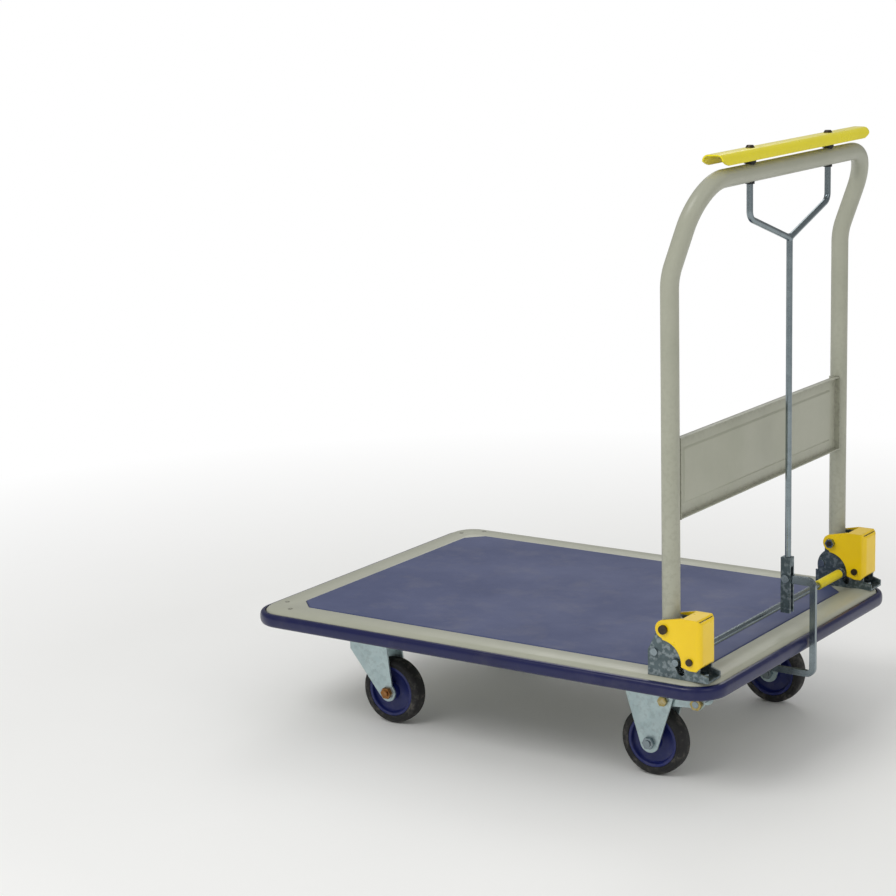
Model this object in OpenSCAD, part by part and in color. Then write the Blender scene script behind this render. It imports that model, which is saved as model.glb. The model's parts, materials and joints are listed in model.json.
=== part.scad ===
// Folding platform cart: steel deck, fold-down push handle with a grip release for the
// rear wheel brakes, two swivel casters in front and two rigid casters under the handle.
// Millimetres, +Z up. Origin on the floor under the middle of the deck. The handle stands
// at +X, and the cart is pushed toward -X.

/* [Deck] */
// Overall platform length over the bumper
deck_length = 800; // [660:5:960]
// Overall platform width over the bumper
deck_width = 600; // [500:5:720]
// Corner radius in plan, over the bumper
corner_r = 50; // [44:1:80]
// Depth of the channel rails between the deck sheet and the casters
rail_h = 36; // [30:1:60]
// Thickness of the deck sheet
pan_t = 2; // [1.6:0.1:3]
// Thickness of the ribbed mat
mat_t = 3.5; // [2.5:0.1:5]
// Distance from the bumper's outer face to the mat's edge
mat_inset = 54; // [54:1:80]
// Bumper height
bumper_h = 20; // [16:1:23]
// Bumper thickness
bumper_t = 8; // [7:0.5:12]

/* [Wheels] */
// Wheel diameter over the tyre
wheel_d = 102; // [85:1:125]
// Tyre width
tyre_w = 26; // [20:1:32]
// Distance of the casters' centre lines from the deck's middle, across
track_half = 187; // [155:1:225]
// Distance of the rear axle behind the deck's middle
rear_axle_x = 252; // [200:1:262]
// Distance of the front swivel axis ahead of the deck's middle
swivel_x = 240; // [200:1:300]
// Trail of the swivel casters
swivel_trail = 34; // [26:1:40]
// Headroom from the top of the wheel to the caster's mounting face
fork_headroom = 38; // [36:1:50]

/* [Handle] */
// Handle tube outside diameter
tube_d = 25.4; // [21:0.1:27]
// Handle tube wall
tube_wall = 1.6; // [1.2:0.1:2.6]
// Distance between the two posts' centre lines
post_span = 530; // [440:5:600]
// Height of the fold pivot above the deck
pivot_h = 69; // [66:1:76]
// Height of the grip's centre line above the fold pivot
grip_h = 607; // [500:1:640]
// Rearward offset of the grip from the posts
grip_kick = 46; // [42:1:52]
// Bend radius of the grip corners
grip_bend_r = 65; // [45:1:80]
// Height of the tie panel between the posts
panel_h = 113; // [80:1:200]

/* [Brake and latch] */
// Squeeze travel of the release bar
squeeze = 11; // [8:0.5:12]
// Diameter of the release rod
rod_d = 9; // [7:0.5:10]
// Diameter of the fold latch rod
latch_d = 10; // [8:0.5:11]
// Travel of the latch rod when it is trodden down
latch_travel = 15; // [14:0.5:16]

/* [Hidden] */
$fn = 96;
slip = 0.1;          // radial gap of pieces that slide or sit in each other
gap = 0.3;           // gap between pieces that only pass each other
cut = 1;             // how far a cutter runs past a face

// deck levels
wheel_r = wheel_d / 2;
caster_h = wheel_d + fork_headroom;
floor_z = caster_h + rail_h;
crown_t = 5;
crown_z = floor_z + crown_t;
rim_r = 12;
rim_w = 40;
bumper_top = crown_z - 5;
bumper_z = bumper_top - bumper_h;
mat_chamfer = 26;
mat_half = [deck_length / 2 - mat_inset, deck_width / 2 - mat_inset];

// rails
rail_w = 104;
rail_t = 3;
rail_over = 62;
rail_x0 = -swivel_x - rail_over;
rail_x1 = rear_axle_x + rail_over;
cross_x = 140;
cross_w = 50;
cross_h = 24;

// casters
plate_t = 3;
plate_l = 104;
plate_w = 84;
bolt_dx = 41;
bolt_dy = 31;
bolt_d = 8;
fork_gap = tyre_w + 8;
fork_t = 3;
fork_out = fork_gap / 2 + fork_t;
axle_d = 10;
axle_eye = 15;
swivel_axle_x = -swivel_x + swivel_trail;
race_z = caster_h - plate_t - 11;
crown_fork_t = 5;

// hinge bracket
post_y = post_span / 2;
pivot_x = deck_length / 2 - 79;
pivot_z = crown_z + pivot_h;
tube_r = tube_d / 2;
pivot_bolt_d = 8;
washer_t = 2.5;
cheek_gap = tube_d + 2 * washer_t + 0.6;
cheek_t = 3;
base_t = 3;
cheek_out = cheek_gap / 2 + cheek_t;
plug_t = 3;
latch_dx = tube_r + 0.2 + latch_d / 2;
latch_dz = -45;
latch_dir = [0.452, -0.892];
sweep_r = norm([latch_dx, latch_dz]) - latch_d / 2 - 0.5;
stub = sqrt(sweep_r ^ 2 - tube_r ^ 2);
stop_d = 8;
stop_dx = -(tube_r + 0.2 + stop_d / 2);
stop_dz = -35;
cover_wall = 3.5;
cover_half = cheek_out + 0.5 + cover_wall;
cover_back = 57;
screw_dx = 40;
screw_dz = -41;
base_front = -27;
base_back = 66;
skirt_dz = -56;

// handle
kick_angle = 20;
kick_r = 80;
kick_run = grip_kick / sin(kick_angle);
kick_z = pivot_z + grip_h - grip_kick / tan(kick_angle);
grip_x = pivot_x + grip_kick;
grip_z = pivot_z + grip_h;
panel_z = pivot_z + 147;
panel_t = 1.5;
panel_half = post_y - tube_r - gap;
flange_w = 18;

// release bar, rod and clevis
leg_y = 122;
leg_turn_z = grip_z - 62;
joint_z = grip_z - 103;
branch_angle = atan((leg_turn_z - joint_z) / leg_y);
rod_r = rod_d / 2;
bar_half = 229;
bar_w = tube_d + 6.6;
bar_t = 2;
bar_h = 15.5;
bar_z = grip_z + tube_r + 6;
bar_top = bar_z + bar_h;
bush_d = rod_d + 3.8;
bush_hole = bush_d + 0.6;
clevis_top = pivot_z + 41;
clevis_end = pivot_z - 42;
clevis_web_end = pivot_z + 3;
clevis_plug = 14;
clevis_gap = 8;
clevis_t = 2.5;
clevis_front = grip_x - 8.5;
clevis_depth = 15;
push_z = pivot_z + 9.5;
push_d = 7;

// brake link, beam and levers
link_t = 6;
link_bar = 12;
link_leg = 9;
link_back = deck_length / 2 + 12;
beam_d = 10;
beam_x = rear_axle_x + 75;
beam_z = wheel_r + 69;
lever_x = rear_axle_x + 23;
lever_z = wheel_r + 66;
lever_t = 3;
lever_y = fork_gap / 2 - 4;
shoe_gap = 0.4;
brake_spring_y = 60;

// ---------- shared shapes ----------

// a rectangle with round corners, centred
module round_rect(size, r) {
  square([size[0] - 2 * r, size[1]], center = true);
  square([size[0], size[1] - 2 * r], center = true);
  for (sx = [-1, 1], sy = [-1, 1])
    translate([sx * (size[0] / 2 - r), sy * (size[1] / 2 - r)]) circle(r = r);
}

// a straight slot from the origin along direction dir
module slot_2d(len, dir, d) {
  circle(d = d);
  translate(len * dir) circle(d = d);
  rotate(atan2(dir[1], dir[0])) translate([0, -d / 2]) square([len, d]);
}

// carries an edge profile round the deck; the profile's x = 0 is the bumper's outer face
module edge_sweep() {
  side_x = deck_length - 2 * corner_r;
  side_y = deck_width - 2 * corner_r;
  for (m = [0, 1]) {
    mirror([0, m, 0]) translate([-side_x / 2, deck_width / 2, 0])
      rotate([90, 0, 90]) linear_extrude(side_x) children();
    mirror([m, 0, 0]) translate([deck_length / 2, side_y / 2, 0])
      rotate([90, 0, 0]) linear_extrude(side_y) children();
  }
  for (i = [0:3])
    translate([(i == 0 || i == 3 ? 1 : -1) * side_x / 2, (i < 2 ? 1 : -1) * side_y / 2, 0])
      rotate(90 * i) rotate_extrude(angle = 90) translate([corner_r, 0]) children();
}

// stands an XZ outline up, thickness t centred on y = 0
module upright(t) {
  translate([0, t / 2, 0]) rotate([90, 0, 0]) linear_extrude(t) children();
}

// a rod along Y centred on y = 0
module y_rod(d, len) {
  rotate([90, 0, 0]) cylinder(d = d, h = len, center = true);
}

module hex_rod(flats, h) {
  linear_extrude(h) circle(d = flats / cos(30), $fn = 6);
}

// places children at the left hinge (y < 0), then mirrored at the right
module both_sides() {
  for (m = [0, 1]) mirror([0, m, 0]) children();
}

module at_left_pivot() {
  translate([pivot_x, -post_y, pivot_z]) children();
}

// ---------- deck ----------

module mat_outline(grow) {
  hx = mat_half[0] + grow;
  hy = mat_half[1] + grow;
  c = mat_chamfer;
  polygon([[hx - c, hy], [hx, hy - c], [hx, c - hy], [hx - c, -hy],
    [c - hx, -hy], [-hx, c - hy], [-hx, hy - c], [c - hx, hy]]);
}

module rim_profile() {
  out = -bumper_t;
  arc_z = crown_z - rim_r;
  translate([out - pan_t, bumper_z + 3]) square([pan_t, arc_z - bumper_z - 3]);
  translate([out - rim_r, arc_z]) intersection() {
    difference() {
      circle(r = rim_r);
      circle(r = rim_r - pan_t);
    }
    square(rim_r);
  }
  translate([-rim_w, floor_z]) square([rim_w - bumper_t - rim_r, crown_t]);
}

module deck_pan() {
  color("#b9b7a6") difference() {
    union() {
      edge_sweep() rim_profile();
      translate([0, 0, floor_z]) linear_extrude(crown_t)
        round_rect([deck_length - 2 * rim_w, deck_width - 2 * rim_w], corner_r - rim_w);
    }
    translate([0, 0, floor_z + pan_t]) linear_extrude(crown_t) mat_outline(0.5);
    both_sides() at_left_pivot() for (dx = bracket_bolt_dx)
      translate([dx, 0, -pivot_h - crown_t - cut]) cylinder(d = bolt_d + 2 * slip, h = 20);
  }
}

module deck_mat() {
  color("#5d6585") translate([0, 0, floor_z + pan_t]) linear_extrude(mat_t) mat_outline(0);
}

module deck_bumper() {
  color("#20215a") edge_sweep() {
    inner = -bumper_t + slip;
    round_edge = 4;
    translate([inner, bumper_z]) square([-inner - round_edge, bumper_h]);
    translate([-round_edge, bumper_z + round_edge]) square([round_edge, bumper_h - 2 * round_edge]);
    translate([-round_edge, bumper_z + round_edge]) circle(r = round_edge);
    translate([-round_edge, bumper_top - round_edge]) circle(r = round_edge);
    translate([inner - 6, bumper_z]) square([6.1, 2.5]);
  }
}

module deck_rivets() {
  color("#8f8d7e") for (sy = [-1, 1], p = rivet_in)
    translate([p[0] - deck_length / 2, sy * (deck_width / 2 - p[1]), crown_z])
      cylinder(d1 = 9, d2 = 6, h = 1.2);
}
rivet_in = [[34, 58], [62, 30]];

module deck_rails() {
  color("#8d8f92") difference() {
    both_sides() translate([rail_x0, -track_half, caster_h])
      rotate([90, 0, 90]) linear_extrude(rail_x1 - rail_x0) difference() {
        translate([-rail_w / 2, 0]) square([rail_w, rail_h]);
        translate([rail_t - rail_w / 2, rail_t]) square([rail_w - 2 * rail_t, rail_h]);
      }
    at_caster_bolts() translate([0, 0, -cut]) cylinder(d = bolt_d + 2 * slip, h = rail_t + 2 * cut);
  }
}

module deck_crossmembers() {
  inner = track_half - rail_w / 2;
  color("#8d8f92") for (s = [-1, 1])
    translate([s * cross_x, inner, floor_z - cross_h])
      rotate([90, 0, 0]) linear_extrude(2 * inner) difference() {
        translate([-cross_w / 2, 0]) square([cross_w, cross_h]);
        translate([rail_t - cross_w / 2, rail_t]) square([cross_w - 2 * rail_t, cross_h]);
      }
}

// ---------- hinge brackets ----------

bracket_bolt_dx = [-15, 50];

module outer_cheek_2d() {
  circle(r = 13);
  polygon([[base_front, -pivot_h], [base_front, -33], [-19, -18], [-13, -4], [0, 13],
    [cover_back - 4, tube_r + gap + 3], [cover_back - 4, skirt_dz], [base_back, skirt_dz - 4],
    [base_back, -pivot_h]]);
}

module inner_cheek_2d() {
  circle(r = 12);
  translate([4, -38]) circle(r = 28);
  polygon([[-12, 0], [-12, -30], [12, -30], [30, tube_r + gap], [12, 12], [0, 12]]);
  polygon([[12, 0], [30, tube_r + gap + 3], [cover_back - 4, tube_r + gap + 3],
    [cover_back - 4, -46], [20, -46]]);
  polygon([[base_front, -pivot_h], [base_front, -46], [cover_back - 4, -46],
    [cover_back - 4, skirt_dz], [base_back, skirt_dz - 4], [base_back, -pivot_h]]);
}

module cheek_holes_2d() {
  circle(d = pivot_bolt_d + 2 * slip);
  translate([latch_dx, latch_dz]) slot_2d(latch_travel, latch_dir, latch_d + 0.6);
  translate([stop_dx, stop_dz]) circle(d = stop_d + 2 * slip);
  translate([screw_dx, screw_dz]) circle(d = 6 + 2 * slip);
}

module bracket() {
  at_left_pivot() {
    difference() {
      union() {
        translate([0, -(cheek_gap + cheek_t) / 2, 0]) upright(cheek_t) outer_cheek_2d();
        translate([0, (cheek_gap + cheek_t) / 2, 0]) upright(cheek_t) inner_cheek_2d();
        translate([base_front, -cheek_gap / 2, -pivot_h])
          cube([base_back - base_front, cheek_gap, base_t]);
        translate([30, -cheek_gap / 2, tube_r + gap]) cube([cover_back - 34, cheek_gap, 3]);
      }
      upright(cheek_gap + 4 * cheek_t) cheek_holes_2d();
      for (dx = bracket_bolt_dx)
        translate([dx, 0, -pivot_h - cut]) cylinder(d = bolt_d + 2 * slip, h = base_t + 2 * cut);
    }
  }
}

module bracket_left() { color("#5f6d75") bracket(); }
module bracket_right() { color("#5f6d75") mirror([0, 1, 0]) bracket(); }

module cover_2d() {
  top = tube_r + 6;
  difference() {
    union() {
      circle(r = 13);
      polygon([[-3, -12.6], [0, -20], [27.5, -50], [screw_dx, screw_dz - 12.5],
        [cover_back - 7, screw_dz - 12.5], [cover_back, -46], [cover_back, top - 6],
        [cover_back - 6, top], [26, top], [-4, 12.3], [-9, 9.3]]);
    }
    translate([-5, -47]) circle(r = 32);
    circle(d = pivot_bolt_d + 2 * slip);
    translate([screw_dx, screw_dz]) circle(d = 6 + 2 * slip);
  }
}

module cover() {
  round_plan = 8;
  at_left_pivot() difference() {
    intersection() {
      upright(2 * cover_half) cover_2d();
      translate([cover_back - 60, 0, -80]) linear_extrude(160)
        round_rect([120, 2 * cover_half], round_plan);
    }
    upright(2 * (cheek_out + 0.5)) polygon([[-40, -80], [cover_back - 3, -80],
      [cover_back - 3, tube_r + gap + 3.3], [28, tube_r + gap + 3.3], [28, 60], [-40, 60]]);
  }
}

module cover_left() { color("#f4d90f") cover(); }
module cover_right() { color("#f4d90f") mirror([0, 1, 0]) cover(); }

// short screws that hold each cover's cheeks to the bracket
module cover_screws() {
  color("#6b4a2b") both_sides() at_left_pivot() translate([screw_dx, 0, screw_dz])
    for (s = [-1, 1]) {
      translate([0, s * (cover_half + 1.5), 0]) y_rod(10, 3);
      translate([0, s * (cover_half - 4.5), 0]) y_rod(6, 9);
    }
}

module bracket_bolts() {
  color("#9aa0a4") both_sides() at_left_pivot() for (dx = bracket_bolt_dx)
    translate([dx, 0, -pivot_h]) {
      translate([0, 0, base_t]) hex_rod(13, 5);
      translate([0, 0, -crown_t - 9]) cylinder(d = bolt_d, h = crown_t + 9 + base_t);
      translate([0, 0, -crown_t - 6.5]) hex_rod(13, 6.5);
    }
}

module stop_pins() {
  color("#a7adb0") both_sides() at_left_pivot() translate([stop_dx, 0, stop_dz]) {
    y_rod(stop_d, 2 * cheek_out);
    for (s = [-1, 1]) translate([0, s * (cheek_out + 1), 0]) y_rod(11, 2);
  }
}

module pivot_bolts() {
  color("#6b4a2b") both_sides() at_left_pivot() {
    translate([0, -cover_half - 2, 0]) y_rod(13, 4);
    translate([0, 4, 0]) y_rod(pivot_bolt_d, 2 * cover_half + 8);
  }
}

module pivot_nuts() {
  color("#a7adb0") both_sides() at_left_pivot() translate([0, cover_half + 6.5, 0])
    rotate([90, 0, 0]) difference() {
      hex_rod(13, 6.5);
      translate([0, 0, -cut]) cylinder(d = pivot_bolt_d + slip, h = 10);
    }
}

// ---------- fold latch ----------

module at_latch() {
  translate([pivot_x + latch_dx, 0, pivot_z + latch_dz]) children();
}

module latch_rod() {
  color("#c9ced2") at_latch() y_rod(latch_d, 2 * (post_y + cheek_out + 5));
}

module latch_clips() {
  clip_t = 1.5;
  color("#3d4245") at_latch() both_sides()
    translate([0, post_y - cover_half - 1 - clip_t / 2, 0]) difference() {
      y_rod(latch_d + 6, clip_t);
      y_rod(latch_d + slip, 4);
    }
}

module latch_sleeve() {
  sleeve_len = 74;
  color("#e8d21a") at_latch() translate([0, post_y - cheek_out - 14 - sleeve_len / 2, 0])
    difference() {
      y_rod(latch_d + 4, sleeve_len);
      y_rod(latch_d + slip, sleeve_len + 2);
    }
}

// a close-wound tension spring on +Z, with a stem at each end that hooks on
module coil(len, coil_d, wire_d) {
  r = (coil_d - wire_d) / 2;
  turns = round(len / (0.9 * wire_d));
  pitch = len / turns;
  stem = 5;
  rotate_extrude() {
    for (i = [0:turns - 1]) translate([r, (i + 0.5) * pitch]) circle(d = wire_d);
    translate([0, pitch / 2 - wire_d / 4]) square([r, wire_d / 2]);
    translate([0, len - pitch / 2 - wire_d / 4]) square([r, wire_d / 2]);
    translate([0, -stem]) square([wire_d / 2, stem + pitch / 2]);
    translate([0, len - pitch / 2]) square([wire_d / 2, stem + pitch / 2]);
  }
}

// small coned springs that stand on the bracket's base and push the latch rod up
module latch_springs() {
  wire = 1.4;
  rings = 6;
  foot = -pivot_h + base_t + 0.1;
  len = latch_dz - latch_d / 2 - 0.1 - foot;
  color("#b4babd") both_sides() at_left_pivot() translate([latch_dx + 3, 0, foot])
    rotate_extrude() {
      for (i = [0:rings - 1])
        translate([9 - 0.8 * i, wire / 2 + i * (len - wire) / (rings - 1)]) circle(d = wire);
      polygon([[8.7, wire / 2], [9.3, wire / 2], [5.3, len - wire / 2], [4.7, len - wire / 2]]);
    }
}

// ---------- handle ----------

// a round bar from the origin that turns from +Z toward +X through the angle
module bend(r, turn_r, angle) {
  translate([turn_r, 0, 0]) rotate([90, 0, 180]) rotate_extrude(angle = angle)
    translate([turn_r, 0]) circle(r = r);
}

// the upper part of the handle, in its own plane
module bow(r) {
  for (side = [-1, 1]) translate([0, side * post_y, 0]) {
    cylinder(r = r, h = kick_run - grip_bend_r);
    translate([0, 0, kick_run - grip_bend_r]) rotate(-side * 90) bend(r, grip_bend_r, 90);
  }
  translate([0, 0, kick_run]) y_rod(2 * r, post_span - 2 * grip_bend_r);
}

module handle_bar(r) {
  foot = pivot_z - stub + plug_t;
  for (side = [-1, 1]) translate([pivot_x, side * post_y, 0]) {
    translate([0, 0, foot]) cylinder(r = r, h = kick_z - foot);
    translate([0, 0, kick_z]) sphere(r = r + 0.05);
  }
  translate([pivot_x, 0, kick_z]) rotate([0, kick_angle, 0]) bow(r);
}

module handle_frame() {
  color("#aeac9a") difference() {
    handle_bar(tube_r);
    handle_bar(tube_r - tube_wall);
    both_sides() at_left_pivot() y_rod(pivot_bolt_d + 4 * slip, tube_d + 2);
    both_sides() translate([grip_x, -leg_y, grip_z]) cylinder(d = bush_hole, h = 40, center = true);
    both_sides() for (z = rivet_z) translate([rivet_x, tube_r / 2 - post_y, z])
      y_rod(4.4, tube_r + 2);
  }
}
rivet_z = [panel_z + 22, panel_z + panel_h - 22];
rivet_x = pivot_x - 4.5;

module pivot_washers() {
  color("#e6e4da") both_sides() at_left_pivot() for (s = [-1, 1])
    translate([0, s * (tube_r + 0.2 + washer_t / 2), 0]) difference() {
      y_rod(24, washer_t - 0.1);
      y_rod(pivot_bolt_d + 4 * slip, washer_t + 2);
    }
}

module post_plugs() {
  color("#1d1d1f") both_sides() translate([pivot_x, -post_y, pivot_z - stub]) {
    cylinder(r = tube_r - 0.1, h = plug_t);
    translate([0, 0, plug_t]) cylinder(r = tube_r - tube_wall - slip, h = 14);
  }
}

module handle_panel() {
  margin = 18;
  raise = 1.6;
  color("#b1af9e") difference() {
    union() {
      translate([pivot_x - panel_t / 2, -panel_half, panel_z]) cube([panel_t, 2 * panel_half, panel_h]);
      both_sides() translate([pivot_x - flange_w / 2, -panel_half, panel_z])
        cube([flange_w, panel_t, panel_h]);
      for (z = [panel_z, panel_z + panel_h - panel_t])
        translate([pivot_x, -panel_half, z]) cube([8, 2 * panel_half, panel_t]);
      translate([pivot_x + raise / 2, 0, panel_z + panel_h / 2]) rotate([0, 90, 0])
        linear_extrude(panel_t, center = true)
          round_rect([panel_h - 2 * margin, 2 * (panel_half - margin)], 8);
    }
    both_sides() for (z = rivet_z) translate([rivet_x, -panel_half, z]) y_rod(4.4, 6);
  }
}

module panel_rivets() {
  color("#8f8d7e") both_sides() for (z = rivet_z) {
    translate([rivet_x, -panel_half - 1.5, z]) y_rod(4, 9);
    translate([rivet_x, -panel_half + panel_t + 0.75, z]) y_rod(6.5, 1.5);
  }
}

// ---------- release bar, rod and clevis ----------

module grip_bushes() {
  color("#19191b") both_sides() translate([grip_x, -leg_y, grip_z]) difference() {
    union() {
      translate([0, 0, -tube_r - 2]) cylinder(d = bush_d, h = tube_d + 8);
      translate([0, 0, tube_r + 0.3]) cylinder(d = bush_d + 4, h = 5);
    }
    translate([0, 0, -tube_r - 3]) cylinder(d = rod_d + gap, h = tube_d + 14);
  }
}

module bar_2d(w, h, r) {
  translate([-w / 2, 0]) square([w, h - r]);
  translate([r - w / 2, 0]) square([w - 2 * r, h]);
  for (s = [-1, 1]) translate([s * (w / 2 - r), h - r]) circle(r = r);
}

module release_bar() {
  color("#efe01c") difference() {
    translate([grip_x, 0, bar_z]) upright(2 * bar_half) difference() {
      bar_2d(bar_w, bar_h, 8);
      translate([0, -cut]) bar_2d(bar_w - 2 * bar_t, bar_h - bar_t + cut, 6);
    }
    both_sides() translate([grip_x, -leg_y, bar_z]) cylinder(d = 6 + 2 * slip, h = 30);
  }
}

module bar_screws() {
  color("#6d6a3a") both_sides() translate([grip_x, -leg_y, bar_top]) {
    cylinder(d1 = 13, d2 = 9, h = 3.5);
    translate([0, 0, -14]) cylinder(d = 6, h = 14);
  }
}

module release_rod() {
  reach = leg_y / cos(branch_angle);
  toe = 2;
  elbow_bead = 0.4;
  joint_bead = 1.2;
  color("#c4cacd") difference() {
    union() {
      for (side = [-1, 1]) translate([grip_x, side * leg_y, leg_turn_z]) {
        cylinder(r = rod_r, h = bar_top - bar_t - leg_turn_z);
        sphere(r = rod_r + elbow_bead);
      }
      for (side = [-1, 1]) translate([grip_x, side * toe, joint_z + toe * tan(branch_angle)])
        rotate([-side * (90 - branch_angle), 0, 0])
          cylinder(r = rod_r, h = reach - toe / cos(branch_angle));
      translate([grip_x, 0, joint_z]) sphere(r = rod_r + joint_bead);
      translate([grip_x, 0, clevis_top - clevis_plug + 1])
        cylinder(r = rod_r, h = joint_z - clevis_top + clevis_plug - 1);
    }
    both_sides() translate([grip_x, -leg_y, bar_top - 18]) cylinder(d = 6 + 2 * slip, h = 20);
  }
}

module rod_clevis() {
  outer = clevis_gap + 2 * clevis_t;
  color("#6e7a80") translate([clevis_front, 0, 0]) difference() {
    union() {
      both_sides() translate([0, clevis_gap / 2, clevis_end])
        cube([clevis_depth, clevis_t, clevis_top - clevis_end]);
      translate([0, -outer / 2, clevis_web_end])
        cube([clevis_t, outer, clevis_top - clevis_web_end]);
      translate([0, -outer / 2, clevis_top - clevis_plug]) cube([clevis_depth, outer, clevis_plug]);
    }
    translate([grip_x - clevis_front, 0, clevis_top - clevis_plug - cut])
      cylinder(r = rod_r + slip, h = clevis_plug + 2 * cut);
    translate([grip_x - clevis_front, 0, push_z]) y_rod(push_d + 2 * slip, 2 * outer);
  }
}

module clevis_bolt() {
  outer = clevis_gap / 2 + clevis_t;
  color("#9aa0a4") translate([grip_x, 0, push_z]) {
    translate([0, 3, 0]) y_rod(push_d, 2 * outer + 6);
    translate([0, -outer - 2, 0]) y_rod(12, 4);
  }
}

module clevis_nut() {
  outer = clevis_gap / 2 + clevis_t;
  color("#9aa0a4") translate([grip_x, outer + 5.5, push_z]) rotate([90, 0, 0]) difference() {
    hex_rod(11, 5);
    translate([0, 0, -cut]) cylinder(d = push_d + slip, h = 8);
  }
}

// ---------- brake ----------

// the link wraps round the deck's rear edge: arm on top, leg behind the bumper, arm below
module brake_link_2d() {
  arm_top = push_z + 4.5;
  arm_low = arm_top - link_bar;
  tip_x = clevis_front + clevis_t + 0.5;
  r = 14;
  foot_top = beam_z + 5;
  foot_low = foot_top - 10;
  difference() {
    union() {
      translate([tip_x, arm_low]) square([link_back - r - tip_x, link_bar]);
      translate([link_back - r, arm_top - r]) intersection() {
        difference() {
          circle(r = r);
          circle(r = r - link_leg);
        }
        square(r);
      }
      translate([link_back - r, arm_low]) square([r - link_leg, arm_top - r - arm_low + 9]);
      translate([link_back - link_leg, foot_low + r])
        square([link_leg, arm_top - foot_low - 2 * r]);
      translate([link_back - r, foot_low + r]) mirror([0, 1]) intersection() {
        difference() {
          circle(r = r);
          circle(r = r - link_leg);
        }
        square(r);
      }
      translate([beam_x, foot_low]) square([link_back - r - beam_x, 9.5]);
      translate([beam_x, beam_z]) circle(r = 10);
    }
    // seat under the clevis bolt, open to the front and top
    translate([tip_x - cut, push_z - push_d / 2 - gap])
      square([grip_x + push_d / 2 + 1.5 - tip_x + cut, link_bar]);
    translate([beam_x - 1.5, beam_z]) slot_2d(3, [1, 0], beam_d + 0.6);
  }
}

module brake_link() {
  color("#8d979b") upright(link_t) brake_link_2d();
}

module brake_beam() {
  color("#a9b0b3") translate([beam_x, 0, beam_z]) y_rod(beam_d, 2 * (track_half + lever_y + 9));
}

module beam_nuts() {
  color("#b6a468") translate([beam_x, 0, beam_z]) both_sides()
    translate([0, -(track_half + lever_y + lever_t / 2), 0]) rotate([90, 0, 0]) difference() {
      hex_rod(16, 7);
      translate([0, 0, -cut]) cylinder(d = beam_d + slip, h = 10);
    }
}

module lever_2d() {
  difference() {
    union() {
      translate([beam_x, beam_z]) circle(r = 10);
      translate([lever_x, lever_z]) circle(r = 9);
      polygon([[beam_x, beam_z + 7], [beam_x, beam_z - 7], [lever_x, lever_z - 9],
        [rear_axle_x - 14, wheel_r * 2 + 6.5], [rear_axle_x - 14, wheel_r * 2 + 14],
        [lever_x, lever_z + 9]]);
    }
    translate([beam_x, beam_z]) circle(d = beam_d + 2 * slip);
    translate([lever_x, lever_z]) circle(d = 8 + 2 * slip);
  }
}

module brake_levers() {
  color("#a9b0b3") for (side = [-1, 1], s = [-1, 1])
    translate([0, side * track_half + s * lever_y, 0]) upright(lever_t) lever_2d();
}

module brake_shoes() {
  width = 2 * lever_y - lever_t - 0.2;
  color("#3b3f42") for (side = [-1, 1]) translate([0, side * track_half, 0]) difference() {
    translate([rear_axle_x - 16, -width / 2, 2 * wheel_r - 3]) cube([26, width, 17]);
    translate([rear_axle_x, 0, wheel_r]) y_rod(wheel_d + 2 * shoe_gap, 60);
  }
}

module lever_pivots() {
  color("#b99b4a") for (side = [-1, 1]) translate([lever_x, side * track_half, lever_z]) {
    y_rod(8, 2 * fork_out + 10);
    for (s = [-1, 1]) translate([0, s * (fork_out + 2.5), 0]) rotate([90, 0, 0])
      translate([0, 0, -2.5]) hex_rod(13, 5);
  }
}

module brake_springs() {
  wire = 2;
  foot = beam_z + beam_d / 2 + 2;
  color("#b4babd") both_sides() translate([beam_x, -brake_spring_y, foot + 8])
    coil(floor_z - foot - 17, 14, wire);
}

// ---------- casters ----------

module mount_plate() {
  difference() {
    linear_extrude(plate_t) round_rect([plate_l, plate_w], 8);
    for (sx = [-1, 1], sy = [-1, 1]) translate([sx * bolt_dx, sy * bolt_dy, -cut])
      cylinder(d = bolt_d + 2 * slip, h = plate_t + 2 * cut);
  }
}

module rigid_leg_2d() {
  top = caster_h - plate_t;
  difference() {
    union() {
      polygon([[-38, top + 0.5], [-38, top - 16], [-14.3, wheel_r - 4], [14.3, wheel_r - 4],
        [38, top - 16], [38, top + 0.5]]);
      translate([0, wheel_r]) circle(r = axle_eye);
    }
    translate([0, wheel_r]) circle(d = axle_d + 2 * slip);
    translate([lever_x - rear_axle_x, lever_z]) circle(d = 8 + 2 * slip);
  }
}

module rear_forks() {
  color("#b7c4c4") for (side = [-1, 1]) translate([rear_axle_x, side * track_half, 0]) {
    translate([0, 0, caster_h - plate_t]) mount_plate();
    for (s = [-1, 1]) translate([0, s * (fork_gap + fork_t) / 2, 0]) upright(fork_t) rigid_leg_2d();
  }
}

module axle(x, y) {
  translate([x, y, wheel_r]) {
    y_rod(axle_d, 2 * fork_out + 16);
    translate([0, -fork_out, 0]) rotate([90, 0, 0]) hex_rod(16, 6);
  }
}

module axle_nut(x, y) {
  translate([x, y + fork_out + 7, wheel_r]) rotate([90, 0, 0]) difference() {
    hex_rod(16, 7);
    translate([0, 0, -cut]) cylinder(d = axle_d + slip, h = 10);
  }
}

module rear_axles() {
  color("#a9793f") for (side = [-1, 1]) mirror([0, (side + 1) / 2, 0])
    axle(rear_axle_x, -track_half);
}

module rear_axle_nuts() {
  color("#b6a468") for (side = [-1, 1]) mirror([0, (side + 1) / 2, 0])
    axle_nut(rear_axle_x, -track_half);
}

module hub(x, y) {
  rim = wheel_r - 12;
  half = tyre_w / 2 - 1;
  boss = fork_gap / 2 - 0.5;
  translate([x, y, wheel_r]) rotate([90, 0, 0]) rotate_extrude()
    polygon([[axle_d / 2 + slip, -boss], [14, -boss], [16, -5], [rim - 7, -4], [rim - 5, -half],
      [rim - 0.05, -half], [rim - 0.05, half], [rim - 5, half], [rim - 7, 4], [16, 5],
      [14, boss], [axle_d / 2 + slip, boss]]);
}

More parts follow.
